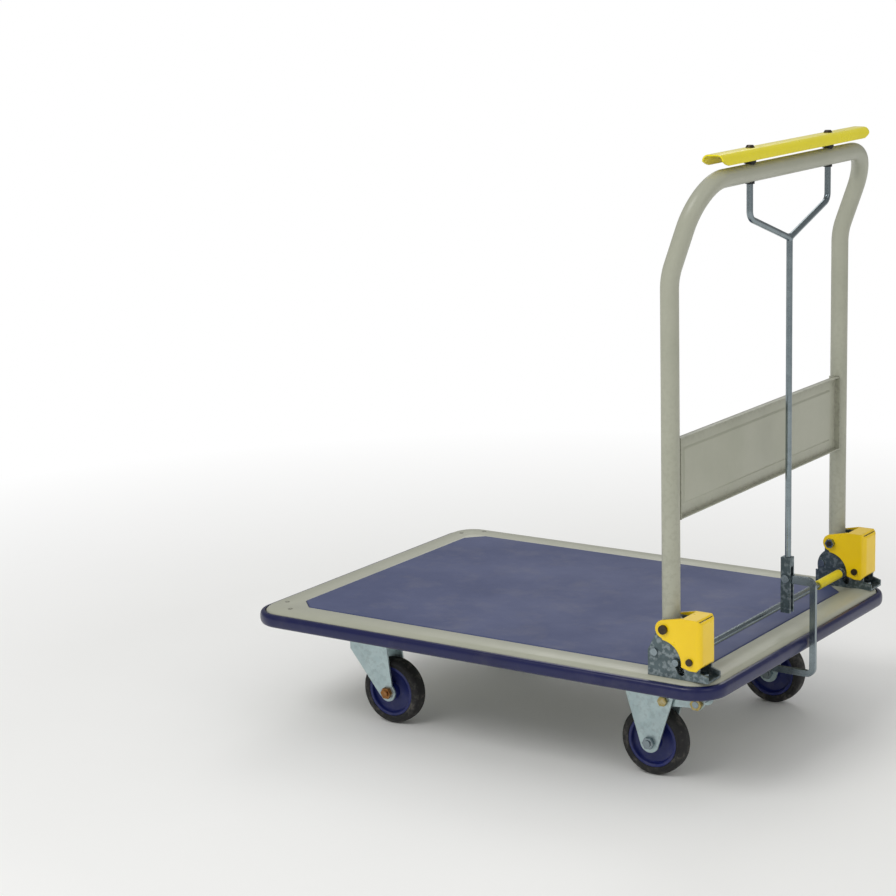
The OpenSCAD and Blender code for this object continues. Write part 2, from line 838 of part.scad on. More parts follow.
module tyre(x, y) {
  rim = wheel_r - 12;
  r = 6;
  half = tyre_w / 2;
  translate([x, y, wheel_r]) rotate([90, 0, 0]) rotate_extrude() {
    translate([rim, -half]) square([12 - r, tyre_w]);
    translate([rim, r - half]) square([12, tyre_w - 2 * r]);
    for (s = [-1, 1]) translate([wheel_r - r, s * (half - r)]) circle(r = r);
  }
}

module rear_hub_left() { color("#1d2c6c") hub(rear_axle_x, -track_half); }
module rear_hub_right() { color("#1d2c6c") hub(rear_axle_x, track_half); }
module rear_tyre_left() { color("#1b1b1c") tyre(rear_axle_x, -track_half); }
module rear_tyre_right() { color("#1b1b1c") tyre(rear_axle_x, track_half); }
module front_hub_left() { color("#1d2c6c") hub(swivel_axle_x, -track_half); }
module front_hub_right() { color("#1d2c6c") hub(swivel_axle_x, track_half); }
module front_tyre_left() { color("#1b1b1c") tyre(swivel_axle_x, -track_half); }
module front_tyre_right() { color("#1b1b1c") tyre(swivel_axle_x, track_half); }

// mounting plate, upper race and king bolt, all fixed to the deck
module swivel_plates() {
  color("#b7c4c4") for (side = [-1, 1]) translate([-swivel_x, side * track_half, 0]) {
    translate([0, 0, caster_h - plate_t]) mount_plate();
    translate([0, 0, race_z + 0.2]) cylinder(r1 = 24, r2 = 30, h = caster_h - plate_t - race_z - 0.2);
    translate([0, 0, race_z - crown_fork_t - 6]) cylinder(d = 12, h = crown_fork_t + 8);
    translate([0, 0, race_z - crown_fork_t - 5.3]) cylinder(d = 19, h = 5);
  }
}

module swivel_leg_2d() {
  difference() {
    union() {
      polygon([[-34, race_z], [-34, race_z - 14], [swivel_trail - 13, wheel_r - 7],
        [swivel_trail + 11, wheel_r - 9], [36, race_z - 16], [34, race_z]]);
      translate([swivel_trail, wheel_r]) circle(r = axle_eye - 1);
    }
    translate([swivel_trail, wheel_r]) circle(d = axle_d + 2 * slip);
  }
}

module swivel_fork(side) {
  translate([-swivel_x, side * track_half, 0]) {
    for (s = [-1, 1]) translate([0, s * (fork_gap + fork_t) / 2, 0]) upright(fork_t) swivel_leg_2d();
    translate([0, 0, race_z - crown_fork_t]) difference() {
      intersection() {
        cylinder(r = 33, h = crown_fork_t);
        translate([-40, -fork_out, 0]) cube([80, 2 * fork_out, crown_fork_t]);
      }
      translate([0, 0, -cut]) cylinder(d = 12 + 2 * gap, h = crown_fork_t + 2 * cut);
    }
  }
}

module swivel_fork_left() { color("#b7c4c4") swivel_fork(-1); }
module swivel_fork_right() { color("#b7c4c4") swivel_fork(1); }

module front_axle(side) {
  axle(swivel_axle_x, side * track_half);
  axle_nut(swivel_axle_x, side * track_half);
}

module front_axle_left() { color("#b0703c") front_axle(-1); }
module front_axle_right() { color("#b0703c") mirror([0, 1, 0]) front_axle(-1); }

module at_caster_bolts() {
  for (x = [-swivel_x, rear_axle_x], side = [-1, 1], sx = [-1, 1], sy = [-1, 1])
    translate([x + sx * bolt_dx, side * track_half + sy * bolt_dy, caster_h]) children();
}

module caster_bolts() {
  color("#b6a468") at_caster_bolts() {
    translate([0, 0, -plate_t - 5]) hex_rod(13, 5);
    translate([0, 0, -plate_t]) cylinder(d = bolt_d, h = plate_t + rail_t + 10);
  }
}

module caster_nuts() {
  color("#b6a468") at_caster_bolts() translate([0, 0, rail_t]) difference() {
    hex_rod(13, 6.5);
    translate([0, 0, -cut]) cylinder(d = bolt_d + slip, h = 10);
  }
}

deck_pan();
deck_mat();
deck_bumper();
deck_rivets();
deck_rails();
deck_crossmembers();
bracket_left();
bracket_right();
cover_left();
cover_right();
cover_screws();
bracket_bolts();
stop_pins();
pivot_bolts();
pivot_nuts();
latch_rod();
latch_clips();
latch_sleeve();
latch_springs();
handle_frame();
pivot_washers();
post_plugs();
handle_panel();
panel_rivets();
grip_bushes();
release_bar();
bar_screws();
release_rod();
rod_clevis();
clevis_bolt();
clevis_nut();
brake_link();
brake_beam();
beam_nuts();
brake_levers();
brake_shoes();
lever_pivots();
brake_springs();
rear_forks();
rear_axles();
rear_axle_nuts();
rear_hub_left();
rear_hub_right();
rear_tyre_left();
rear_tyre_right();
swivel_plates();
swivel_fork_left();
swivel_fork_right();
front_axle_left();
front_axle_right();
front_hub_left();
front_hub_right();
front_tyre_left();
front_tyre_right();
caster_bolts();
caster_nuts();
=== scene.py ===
import bpy
import bmesh
import json
import math
from mathutils import Matrix, Vector


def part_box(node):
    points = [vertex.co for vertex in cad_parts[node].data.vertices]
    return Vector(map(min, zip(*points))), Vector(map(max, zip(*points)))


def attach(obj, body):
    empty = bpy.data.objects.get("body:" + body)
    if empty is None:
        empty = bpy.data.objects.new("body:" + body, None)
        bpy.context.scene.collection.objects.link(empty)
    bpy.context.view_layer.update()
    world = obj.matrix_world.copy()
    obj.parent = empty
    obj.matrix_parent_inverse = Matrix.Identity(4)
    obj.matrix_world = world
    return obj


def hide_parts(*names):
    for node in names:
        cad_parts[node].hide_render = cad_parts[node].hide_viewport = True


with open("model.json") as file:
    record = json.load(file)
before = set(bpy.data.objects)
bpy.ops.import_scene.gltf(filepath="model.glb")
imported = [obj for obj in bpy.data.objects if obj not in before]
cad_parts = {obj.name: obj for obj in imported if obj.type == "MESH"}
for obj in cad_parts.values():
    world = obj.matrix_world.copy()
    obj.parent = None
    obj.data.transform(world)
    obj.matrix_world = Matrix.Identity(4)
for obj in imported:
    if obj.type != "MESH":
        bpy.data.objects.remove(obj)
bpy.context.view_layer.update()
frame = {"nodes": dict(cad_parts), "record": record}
print("frame loaded with", len(frame["nodes"]), "nodes")

mm = 0.001


# colours and shader building

def hexColour(code):
    parts = [int(code[i:i + 2], 16) / 255 for i in (1, 3, 5)]
    return tuple(p / 12.92 if p <= 0.04045 else ((p + 0.055) / 1.055) ** 2.4 for p in parts) + (1.0,)


def addNode(tree, kind, props=None, values=None, links=None):
    node = tree.nodes.new(kind)
    for key, value in (props or {}).items():
        setattr(node, key, value)
    for key, value in (values or {}).items():
        node.inputs[key].default_value = value
    for key, (source, output) in (links or {}).items():
        tree.links.new(source.outputs[output], node.inputs[key])
    return node


def mathNode(tree, operation, a, b, clamp=False):
    node = addNode(tree, "ShaderNodeMath", {"operation": operation, "use_clamp": clamp})
    for slotIndex, item in enumerate((a, b)):
        if isinstance(item, tuple):
            tree.links.new(item[0].outputs[item[1]], node.inputs[slotIndex])
        else:
            node.inputs[slotIndex].default_value = item
    return node


def rangeNode(tree, source, low, high, toLow, toHigh):
    return addNode(tree, "ShaderNodeMapRange", {"clamp": True},
                   {"From Min": low, "From Max": high, "To Min": toLow, "To Max": toHigh},
                   {"Value": source})


def makeFinish(name, spec):
    mat = bpy.data.materials.new(name)
    mat.use_nodes = True
    mat.diffuse_color = hexColour(spec["base"])
    tree = mat.node_tree
    tree.nodes.clear()
    coords = addNode(tree, "ShaderNodeTexCoord")
    patches = addNode(tree, "ShaderNodeTexNoise", None,
                      {"Scale": 1000 / spec["patchMm"], "Detail": 5.0, "Roughness": 0.6},
                      {"Vector": (coords, "Object")})
    if spec.get("cell"):  # pebbled or spangled surface
        grain = addNode(tree, "ShaderNodeTexVoronoi", {"feature": "SMOOTH_F1"},
                        {"Scale": 1000 / spec["grainMm"], "Randomness": 1.0},
                        {"Vector": (coords, "Object")})
        grainOut = (grain, "Distance")
    else:
        grain = addNode(tree, "ShaderNodeTexNoise", None,
                        {"Scale": 1000 / spec["grainMm"], "Detail": 3.0, "Roughness": 0.55},
                        {"Vector": (coords, "Object")})
        grainOut = (grain, "Fac")
    patchMask = rangeNode(tree, (patches, "Fac"), 0.38, 0.64, 0.0, spec.get("shadeMix", 0.5))
    colour = addNode(tree, "ShaderNodeMix", {"data_type": "RGBA"},
                     {"A": hexColour(spec["base"]), "B": hexColour(spec["shade"])},
                     {"Factor": (patchMask, "Result")})
    colourOut = (colour, "Result")
    if spec.get("spangle"):  # crystals of differing tone
        crystals = addNode(tree, "ShaderNodeTexVoronoi", None,
                           {"Scale": 1000 / spec["spangleMm"]}, {"Vector": (coords, "Object")})
        tone = addNode(tree, "ShaderNodeSeparateColor", None, None, {"Color": (crystals, "Color")})
        toneMask = rangeNode(tree, (tone, "Red"), 0.0, 1.0, 0.0, spec["spangle"])
        colour = addNode(tree, "ShaderNodeMix", {"data_type": "RGBA"},
                         {"B": hexColour(spec["spangleTone"])},
                         {"A": colourOut, "Factor": (toneMask, "Result")})
        colourOut = (colour, "Result")
    if spec.get("wear"):  # rubbed edges show what is under the finish
        geometry = addNode(tree, "ShaderNodeNewGeometry")
        edge = rangeNode(tree, (geometry, "Pointiness"), 0.52, 0.60, 0.0, 1.0)
        chips = addNode(tree, "ShaderNodeTexNoise", None,
                        {"Scale": 1000 / spec.get("chipMm", 6), "Detail": 6.0},
                        {"Vector": (coords, "Object")})
        chipMask = rangeNode(tree, (chips, "Fac"), 0.48, 0.62, 0.0, spec["wear"])
        worn = mathNode(tree, "MULTIPLY", (edge, "Result"), (chipMask, "Result"), True)
        colour = addNode(tree, "ShaderNodeMix", {"data_type": "RGBA"},
                         {"B": hexColour(spec["under"])},
                         {"A": colourOut, "Factor": (worn, "Value")})
        colourOut = (colour, "Result")
    if spec.get("dust"):  # dry dust in a loose film
        dustNoise = addNode(tree, "ShaderNodeTexNoise", None,
                            {"Scale": 1000 / spec["dustMm"], "Detail": 7.0, "Roughness": 0.7},
                            {"Vector": (coords, "Object")})
        dustMask = rangeNode(tree, (dustNoise, "Fac"), 0.5, 0.72, 0.0, spec["dust"])
        colour = addNode(tree, "ShaderNodeMix", {"data_type": "RGBA"},
                         {"B": hexColour("#9A9488")},
                         {"A": colourOut, "Factor": (dustMask, "Result")})
        colourOut = (colour, "Result")
    rough = rangeNode(tree, (patches, "Fac"), 0.3, 0.7, spec["rough"][0], spec["rough"][1])
    soft = addNode(tree, "ShaderNodeBevel", {"samples": 4}, {"Radius": spec.get("edgeMm", 0.5) * mm})
    bump = addNode(tree, "ShaderNodeBump", None,
                   {"Strength": spec.get("bumpStrength", 0.5), "Distance": spec["bumpMm"] * mm},
                   {"Height": grainOut, "Normal": (soft, "Normal")})
    shader = addNode(tree, "ShaderNodeBsdfPrincipled", None,
                     {"Metallic": spec["metallic"], "IOR": spec["ior"],
                      "Coat Weight": spec.get("coat", 0.0), "Coat Roughness": spec.get("coatRough", 0.2)},
                     {"Base Color": colourOut, "Roughness": (rough, "Result"),
                      "Normal": (bump, "Normal")})
    addNode(tree, "ShaderNodeOutputMaterial", None, None, {"Surface": (shader, "BSDF")})
    return mat


finishes = {
    "ivoryPowderCoat": {"base": "#A9AA99", "shade": "#9FA18F", "patchMm": 90, "grainMm": 1.6,
                        "bumpMm": 0.05, "rough": (0.34, 0.46), "metallic": 0.0, "ior": 1.5,
                        "coat": 0.25, "coatRough": 0.25, "wear": 0.35, "under": "#77746A", "edgeMm": 0.8},
    "pebbledVinylMat": {"base": "#465078", "shade": "#3E476C", "patchMm": 160, "grainMm": 1.8,
                        "cell": True, "bumpMm": 0.25, "rough": (0.5, 0.66), "metallic": 0.0,
                        "ior": 1.52, "dust": 0.12, "dustMm": 55, "edgeMm": 1.0},
    "navyBumperVinyl": {"base": "#10164A", "shade": "#0C113C", "patchMm": 120, "grainMm": 2.2,
                        "bumpMm": 0.05, "rough": (0.26, 0.38), "metallic": 0.0, "ior": 1.42,
                        "coat": 0.2, "coatRough": 0.15, "dust": 0.05, "dustMm": 40},
    "paintedRivetHead": {"base": "#77766A", "shade": "#69685E", "patchMm": 8, "grainMm": 0.9,
                         "bumpMm": 0.05, "rough": (0.35, 0.5), "metallic": 0.3, "ior": 1.5,
                         "wear": 0.6, "under": "#55534D"},
    "greyPrimedRail": {"base": "#8E9193", "shade": "#7E8183", "patchMm": 70, "grainMm": 1.2,
                       "bumpMm": 0.06, "rough": (0.45, 0.6), "metallic": 0.1, "ior": 1.5,
                       "dust": 0.2, "dustMm": 30},
    "darkZincPressing": {"base": "#4F5E62", "shade": "#424F53", "patchMm": 24, "grainMm": 0.8,
                         "bumpMm": 0.03, "rough": (0.3, 0.48), "metallic": 0.75, "ior": 2.0,
                         "spangle": 0.35, "spangleMm": 7, "spangleTone": "#6C7D82", "edgeMm": 0.6,
                         "wear": 0.5, "under": "#A7B2B6"},
    "yellowMoulding": {"base": "#F6D002", "shade": "#ECC302", "patchMm": 60, "grainMm": 0.7,
                       "bumpMm": 0.03, "rough": (0.26, 0.36), "metallic": 0.0, "ior": 1.49,
                       "coat": 0.2, "coatRough": 0.2, "edgeMm": 2.2},
    "bronzePassivate": {"base": "#9A6A3A", "shade": "#7A5430", "patchMm": 9, "grainMm": 0.7,
                        "bumpMm": 0.03, "rough": (0.25, 0.42), "metallic": 0.9, "ior": 1.8,
                        "wear": 0.4, "under": "#C9A77A"},
    "darkScrewHead": {"base": "#4A4034", "shade": "#39322A", "patchMm": 6, "grainMm": 0.6,
                      "bumpMm": 0.03, "rough": (0.3, 0.5), "metallic": 0.8, "ior": 1.8},
    "brightZincRod": {"base": "#8B979C", "shade": "#76828A", "patchMm": 30, "grainMm": 0.6,
                      "bumpMm": 0.012, "rough": (0.16, 0.3), "metallic": 0.95, "ior": 2.2,
                      "spangle": 0.2, "spangleMm": 9, "spangleTone": "#A9B5BA", "edgeMm": 0.5},
    "springWire": {"base": "#9BA1A3", "shade": "#83898B", "patchMm": 5, "grainMm": 0.4,
                   "bumpMm": 0.01, "rough": (0.22, 0.35), "metallic": 0.9, "ior": 2.0},
    "whiteNylon": {"base": "#DEDCD2", "shade": "#D0CEC3", "patchMm": 8, "grainMm": 0.6,
                   "bumpMm": 0.02, "rough": (0.4, 0.5), "metallic": 0.0, "ior": 1.53},
    "blackPolythene": {"base": "#1C1C1E", "shade": "#242427", "patchMm": 10, "grainMm": 0.8,
                       "bumpMm": 0.03, "rough": (0.4, 0.55), "metallic": 0.0, "ior": 1.5},
    "yellowBarPaint": {"base": "#F2E40C", "shade": "#E8D908", "patchMm": 70, "grainMm": 1.5,
                       "bumpMm": 0.04, "rough": (0.26, 0.38), "metallic": 0.0, "ior": 1.5,
                       "coat": 0.3, "coatRough": 0.2, "wear": 0.2, "under": "#B9AA2C", "edgeMm": 0.6},
    "yellowZincBolt": {"base": "#B09B55", "shade": "#9A8F68", "patchMm": 7, "grainMm": 0.6,
                       "bumpMm": 0.02, "rough": (0.25, 0.4), "metallic": 0.9, "ior": 2.0,
                       "wear": 0.4, "under": "#C9C6B8"},
    "brakeLining": {"base": "#262627", "shade": "#303030", "patchMm": 10, "grainMm": 1.0,
                    "bumpMm": 0.12, "rough": (0.7, 0.85), "metallic": 0.0, "ior": 1.5,
                    "dust": 0.25, "dustMm": 12},
    "blueNylonHub": {"base": "#111E62", "shade": "#0D184E", "patchMm": 40, "grainMm": 0.9,
                     "bumpMm": 0.04, "rough": (0.36, 0.48), "metallic": 0.0, "ior": 1.53,
                     "dust": 0.1, "dustMm": 18, "edgeMm": 0.8},
    "blackTyreRubber": {"base": "#171718", "shade": "#212122", "patchMm": 22, "grainMm": 1.1,
                        "bumpMm": 0.14, "rough": (0.6, 0.8), "metallic": 0.0, "ior": 1.52,
                        "dust": 0.3, "dustMm": 14},
    "yellowFootSleeve": {"base": "#E2CF25", "shade": "#CDBB22", "patchMm": 16, "grainMm": 0.9,
                         "bumpMm": 0.04, "rough": (0.4, 0.55), "metallic": 0.0, "ior": 1.5,
                         "dust": 0.1, "dustMm": 10},
    "paleZincFork": {"base": "#B4C8CA", "shade": "#9DB0B4", "patchMm": 34, "grainMm": 0.7,
                     "bumpMm": 0.02, "rough": (0.3, 0.44), "metallic": 0.7, "ior": 2.0,
                     "spangle": 0.25, "spangleMm": 8, "spangleTone": "#CFDCDC", "edgeMm": 0.9,
                     "wear": 0.3, "under": "#8B979A"},
}
mats = {name: makeFinish(name, spec) for name, spec in finishes.items()}
print("finishes made:", len(mats))


# mesh building

def newPiece(name, verts, faces, finish, body, slotName, replaced=(), sharp=32):
    mesh = bpy.data.meshes.new(name)
    mesh.from_pydata([tuple(v) for v in verts], [], [tuple(f) for f in faces])
    shape = bmesh.new()
    shape.from_mesh(mesh)
    bmesh.ops.recalc_face_normals(shape, faces=shape.faces)
    shape.to_mesh(mesh)
    shape.free()
    mesh.polygons.foreach_set("use_smooth", [True] * len(mesh.polygons))
    mesh.set_sharp_from_angle(angle=math.radians(sharp))
    mesh.materials.append(mats[finish])
    piece = bpy.data.objects.new(name, mesh)
    bpy.context.scene.collection.objects.link(piece)
    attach(piece, body)
    if replaced:
        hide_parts(*replaced)
    return piece


def joinShapes(shapes):
    verts, faces = [], []
    for shapeVerts, shapeFaces in shapes:
        start = len(verts)
        verts += list(shapeVerts)
        faces += [tuple(i + start for i in f) for f in shapeFaces]
    return verts, faces


def mirrored(shape):
    verts, faces = shape
    return [Vector((v[0], -v[1], v[2])) for v in verts], [tuple(reversed(f)) for f in faces]


def roundCorners(points, radii, steps=10):
    points = [Vector(p) for p in points]
    path = [points[0]]
    for i in range(1, len(points) - 1):
        radius = radii[i - 1]
        back = (points[i - 1] - points[i]).normalized()
        ahead = (points[i + 1] - points[i]).normalized()
        angle = back.angle(ahead)
        if radius <= 0 or angle > math.pi - 1e-4:
            path.append(points[i])
            continue
        reach = radius / math.tan(angle / 2)
        centre = points[i] + (back + ahead).normalized() * (radius / math.sin(angle / 2))
        start = points[i] + back * reach - centre
        axis = back.cross(ahead).normalized()
        turn = math.pi - angle
        for k in range(steps + 1):
            path.append(centre + Matrix.Rotation(-turn * k / steps, 3, axis) @ start)
    path.append(points[-1])
    return path


def sweepRing(path, section, capped=True):
    tangents = []
    for i in range(len(path)):
        tangents.append((path[min(i + 1, len(path) - 1)] - path[max(i - 1, 0)]).normalized())
    if abs(tangents[0].z) < 0.9:
        side = tangents[0].cross(Vector((0, 0, 1))).normalized()
    else:
        side = Vector((1, 0, 0))
    verts, faces = [], []
    count = len(section)
    for i, point in enumerate(path):
        if i:
            turn = tangents[i - 1].rotation_difference(tangents[i])
            side = (turn @ side).normalized()
        up = tangents[i].cross(side).normalized()
        verts += [point + side * a + up * b for a, b in section]
    for i in range(len(path) - 1):
        for j in range(count):
            k = (j + 1) % count
            faces.append((i * count + j, i * count + k, (i + 1) * count + k, (i + 1) * count + j))
    if capped:
        faces.append(tuple(range(count)))
        faces.append(tuple(range((len(path) - 1) * count, len(path) * count)))
    return verts, faces


def roundSection(radius, count=28):
    return [(radius * math.cos(2 * math.pi * j / count), radius * math.sin(2 * math.pi * j / count))
            for j in range(count)]


def spinProfile(profile, centre, count=72):
    verts, faces = [], []
    rows = len(profile)
    for i in range(count):
        a = 2 * math.pi * i / count
        for radius, along in profile:
            verts.append(Vector((centre[0] + radius * math.cos(a), centre[1] + along,
                                 centre[2] + radius * math.sin(a))))
    for i in range(count):
        n = (i + 1) % count
        for j in range(rows):
            k = (j + 1) % rows
            faces.append((i * rows + j, i * rows + k, n * rows + k, n * rows + j))
    return verts, faces


def coilPath(start, end, radius, turns, perTurn=16):
    start, end = Vector(start), Vector(end)
    axis = (end - start).normalized()
    side = axis.orthogonal().normalized()
    up = axis.cross(side)
    steps = int(turns * perTurn)
    return [start.lerp(end, i / steps) + side * radius * math.cos(2 * math.pi * i / perTurn)
            + up * radius * math.sin(2 * math.pi * i / perTurn) for i in range(steps + 1)]


def planLoop(half, corner, inset, perCorner=10):
    halfX, halfY = half[0] - inset, half[1] - inset
    radius = max(corner - inset, 2 * mm)
    points = []
    for quarter, (sx, sy) in enumerate(((1, 1), (-1, 1), (-1, -1), (1, -1))):
        cx, cy = sx * (halfX - radius), sy * (halfY - radius)
        for k in range(perCorner + 1):
            a = math.radians(90 * quarter + 90 * k / perCorner)
            points.append((cx + radius * math.cos(a), cy + radius * math.sin(a)))
    return points


def chamferLoop(half, chamfer, perCorner=10):
    x, y = half
    ends = (((x, y - chamfer), (x - chamfer, y)), ((chamfer - x, y), (-x, y - chamfer)),
            ((-x, chamfer - y), (chamfer - x, -y)), ((x - chamfer, -y), (x, chamfer - y)))
    return [(a[0] + (b[0] - a[0]) * k / perCorner, a[1] + (b[1] - a[1]) * k / perCorner)
            for a, b in ends for k in range(perCorner + 1)]


def stackLoops(loops, closed=False, capFirst=False, capLast=False):
    count = len(loops[0][0])
    verts = [Vector((x, y, z)) for loop, z in loops for x, y in loop]
    faces = []
    rows = len(loops)
    for i in range(rows if closed else rows - 1):
        n = (i + 1) % rows
        for j in range(count):
            k = (j + 1) % count
            faces.append((i * count + j, i * count + k, n * count + k, n * count + j))
    if capFirst:
        faces.append(tuple(range(count)))
    if capLast:
        faces.append(tuple(range((rows - 1) * count, rows * count)))
    return verts, faces


# deck

bumperLow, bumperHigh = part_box("deck_bumper")
panLow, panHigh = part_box("deck_pan")
matLow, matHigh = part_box("deck_mat")
deckHalf = ((bumperHigh[0] - bumperLow[0]) / 2, (bumperHigh[1] - bumperLow[1]) / 2)
deck = {
    "corner": 50 * mm,
    "rollRadius": 12 * mm,
    "bumperDepth": 8 * mm,
    "crest": 1.0 * mm,
    "chamfer": 26 * mm,
    "matEdge": 1.2 * mm,
    "matRound": 0.9 * mm,
    "matSeat": 0.6 * mm,
    "underEdge": 10 * mm,
    "underReach": 40 * mm,
    "underDrop": 5 * mm,
}


def deckProfile():
    top, skirt, roll = panHigh[2], deck["bumperDepth"], deck["rollRadius"]
    rows = [(skirt + 1.8 * mm, panLow[2]), (skirt, panLow[2]), (skirt, top - roll)]
    for k in range(1, 9):
        a = math.radians(180 - 90 * k / 8)
        rows.append((skirt + roll + roll * math.cos(a), top - roll + roll * math.sin(a)))
    for inset, rise in ((23, 0.45), (28, 0.85), (33, 1.0), (38, 0.85), (43, 0.45), (47, 0.0)):
        rows.append((inset * mm, top + rise * deck["crest"]))
    return rows


rows = [(planLoop(deckHalf, deck["corner"], inset), z) for inset, z in deckProfile()]
lip = deck["matSeat"]
recess = chamferLoop((matHigh[0] + lip, matHigh[1] + lip), deck["chamfer"])
edgeLoop = chamferLoop((matHigh[0] + 2 * mm, matHigh[1] + 2 * mm), deck["chamfer"])
rows += [(edgeLoop, panHigh[2] - 0.15 * mm), (recess, panHigh[2] - 0.8 * mm), (recess, matLow[2])]
topSheet = stackLoops(rows, capLast=True)
underside = panHigh[2] - deck["underDrop"]
under = stackLoops([(planLoop(deckHalf, deck["corner"], deck["underEdge"] - 0.2 * mm), panLow[2]),
                    (planLoop(deckHalf, deck["corner"], deck["underEdge"]), underside),
                    (planLoop(deckHalf, deck["corner"], deck["underReach"]), underside)], capLast=True)
newPiece("deckPan", *joinShapes([topSheet, under]), "ivoryPowderCoat", "base", "ivory_paint",
         ("deck_pan",), 40)

inner = chamferLoop((matHigh[0] - deck["matEdge"], matHigh[1] - deck["matEdge"]), deck["chamfer"])
outer = chamferLoop((matHigh[0], matHigh[1]), deck["chamfer"])
newPiece("deckMat", *stackLoops([(outer, matLow[2]), (outer, matHigh[2] - deck["matRound"]),
                                 (inner, matHigh[2])], capFirst=True, capLast=True),
         "pebbledVinylMat", "base", "mat_grey", ("deck_mat",), 25)

bumper = {"bulge": 0.55, "squat": 0.85, "return": 14 * mm, "lip": 2.5 * mm}


def bumperProfile():
    middle, halfHeight = (bumperHigh[2] + bumperLow[2]) / 2, (bumperHigh[2] - bumperLow[2]) / 2
    depth = deck["bumperDepth"]
    points = [(depth, bumperHigh[2])]
    for k in range(1, 18):
        a = math.radians(90 - 180 * k / 18)
        out = abs(math.cos(a)) ** bumper["bulge"]
        rise = math.copysign(abs(math.sin(a)) ** bumper["squat"], math.sin(a))
        points.append((depth * (1 - out), middle + halfHeight * rise))
    lipTop = bumperLow[2] + bumper["lip"]
    points += [(depth, bumperLow[2]), (bumper["return"], bumperLow[2]),
               (bumper["return"], lipTop), (depth - 0.1 * mm, lipTop)]
    return points


newPiece("deckBumper", *stackLoops([(planLoop(deckHalf, deck["corner"], inset, 14), z)
                                    for inset, z in bumperProfile()], closed=True),
         "navyBumperVinyl", "base", "bumper_navy", ("deck_bumper",), 50)

rivets = {"places": ((34, 58), (62, 30)), "radius": 4.6 * mm, "dish": 1.3 * mm,
          "section": ((1.0, 0.0), (0.92, 0.55), (0.7, 0.9), (0.42, 0.92), (0.3, 0.5), (0.08, 0.45))}
heads = []
for sy in (-1, 1):
    for px, py in rivets["places"]:
        x, y = -(deckHalf[0] - px * mm), sy * (deckHalf[1] - py * mm)
        r, h = rivets["radius"], rivets["dish"]
        rings = [([(x + q * r * math.cos(a), y + q * r * math.sin(a))
                   for a in [2 * math.pi * j / 24 for j in range(24)]], panHigh[2] + z * h)
                 for q, z in rivets["section"]]
        heads.append(stackLoops(rings, capLast=True))
newPiece("cornerRivets", *joinShapes(heads), "paintedRivetHead", "base", "rivet_grey",
         ("deck_rivets",), 60)
print("deck made")


# handle

frameLow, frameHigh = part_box("handle_frame")
foldJoint = next(j for j in frame["record"]["behaviour"]["joints"] if j["name"] == "handle_fold")
pivotX, pivotZ = foldJoint["pos_m"][0], foldJoint["pos_m"][2]
handle = {"tubeRadius": 12.7 * mm, "kickRadius": 95 * mm, "cornerRadius": 65 * mm, "kickAngle": 20}
tubeRadius = handle["tubeRadius"]
postY = frameHigh[1] - tubeRadius
gripX, gripZ = frameHigh[0] - tubeRadius, frameHigh[2] - tubeRadius
kickZ = gripZ - (gripX - pivotX) / math.tan(math.radians(handle["kickAngle"]))
side = [(pivotX, -postY, frameLow[2]), (pivotX, -postY, kickZ), (gripX, -postY, gripZ)]
tubePath = roundCorners(side + [(p[0], -p[1], p[2]) for p in side[::-1]],
                        [handle["kickRadius"], handle["cornerRadius"],
                         handle["cornerRadius"], handle["kickRadius"]], 18)
newPiece("handleTube", *sweepRing(tubePath, roundSection(tubeRadius, 40)),
         "ivoryPowderCoat", "handle", "ivory_paint", ("handle_frame",), 45)

panelLow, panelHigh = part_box("handle_panel")
tie = {"sheet": 1.5 * mm, "raise": 1.6 * mm, "ramp": 3 * mm, "marginY": 20 * mm, "marginZ": 17 * mm,
       "lip": 8 * mm, "flangeHalf": 9 * mm}


def tiePanelShape():
    halfY = panelHigh[1]
    z0, z1 = panelLow[2], panelHigh[2]
    ys = [-halfY, -halfY + tie["marginY"], -halfY + tie["marginY"] + tie["ramp"]]
    ys += [-halfY * 0.33, halfY * 0.33] + [-y for y in ys[::-1]]
    zs = [z0, z0 + tie["marginZ"], z0 + tie["marginZ"] + tie["ramp"]]
    zs += [(z0 + z1) / 2] + [z0 + z1 - z for z in zs[::-1]]
    verts, faces = [], []
    for skin in (0, 1):
        start = len(verts)
        for i, z in enumerate(zs):
            for j, y in enumerate(ys):
                raised = 1 < i < len(zs) - 2 and 1 < j < len(ys) - 2
                x = pivotX - tie["sheet"] / 2 + skin * tie["sheet"] + (tie["raise"] if raised else 0)
                verts.append(Vector((x, y, z)))
        for i in range(len(zs) - 1):
            for j in range(len(ys) - 1):
                a = start + i * len(ys) + j
                face = (a, a + 1, a + 1 + len(ys), a + len(ys))
                faces.append(face if skin == 0 else face[::-1])
    w, h, back = len(ys), len(zs), len(ys) * len(zs)
    rim = [j for j in range(w)] + [i * w + w - 1 for i in range(1, h)]
    rim += [(h - 1) * w + j for j in range(w - 2, -1, -1)] + [i * w for i in range(h - 2, 0, -1)]
    for a, b in zip(rim, rim[1:] + rim[:1]):
        faces.append((b, a, a + back, b + back))
    return verts, faces


def boxShape(low, high):
    (x0, y0, z0), (x1, y1, z1) = low, high
    verts = [Vector((x, y, z)) for x in (x0, x1) for y in (y0, y1) for z in (z0, z1)]
    return verts, [(0, 1, 3, 2), (4, 6, 7, 5), (0, 4, 5, 1), (2, 3, 7, 6), (0, 2, 6, 4), (1, 5, 7, 3)]


lips = [boxShape((pivotX, -panelHigh[1], z), (pivotX + tie["lip"], panelHigh[1], z + tie["sheet"]))
        for z in (panelLow[2], panelHigh[2] - tie["sheet"])]
lips += [boxShape((pivotX - tie["flangeHalf"], y, panelLow[2]),
                  (pivotX + tie["flangeHalf"], y + tie["sheet"], panelHigh[2]))
         for y in (-panelHigh[1], panelHigh[1] - tie["sheet"])]
newPiece("tiePanel", *joinShapes([tiePanelShape()] + lips), "ivoryPowderCoat", "handle",
         "ivory_paint", ("handle_panel",), 20)

